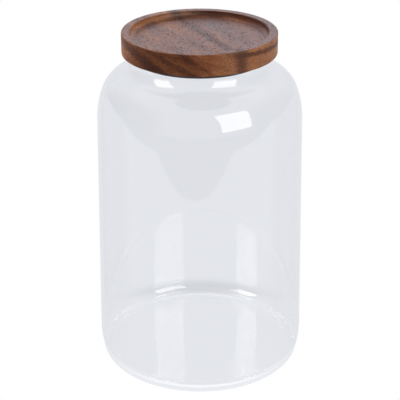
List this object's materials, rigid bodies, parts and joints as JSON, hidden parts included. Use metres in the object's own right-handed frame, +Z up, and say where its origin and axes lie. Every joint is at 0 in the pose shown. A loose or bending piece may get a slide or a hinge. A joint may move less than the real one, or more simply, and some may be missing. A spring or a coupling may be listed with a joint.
{
  "type": "storage canister",
  "caption": "Clear blown glass storage canister with rounded shoulders and a dished wooden lid that lifts off and seals with a silicone ring.",
  "frame": {"origin": "centre of the plane the jar stands on", "axes": "+Z up along the axis of the jar and lid, +X to the right seen from the front, -Y towards the front; the object is round, so the front is only a choice"},
  "size_m": [0.1508, 0.1508, 0.2477],
  "materials": {
    "clear_glass": "polished",
    "dark_wood": "satin",
    "silicone": "translucent matt"
  },
  "bodies": {
    "jar": {"glass_jar": "clear_glass"},
    "lid": {"wood_lid": "dark_wood", "seal_ring": "silicone"}
  },
  "joints": [
    {"name": "lid_lift", "type": "slide", "parent": "jar", "child": "lid", "axis": [0, 0, 1], "range_m": [0, 0.12]}
  ]
}
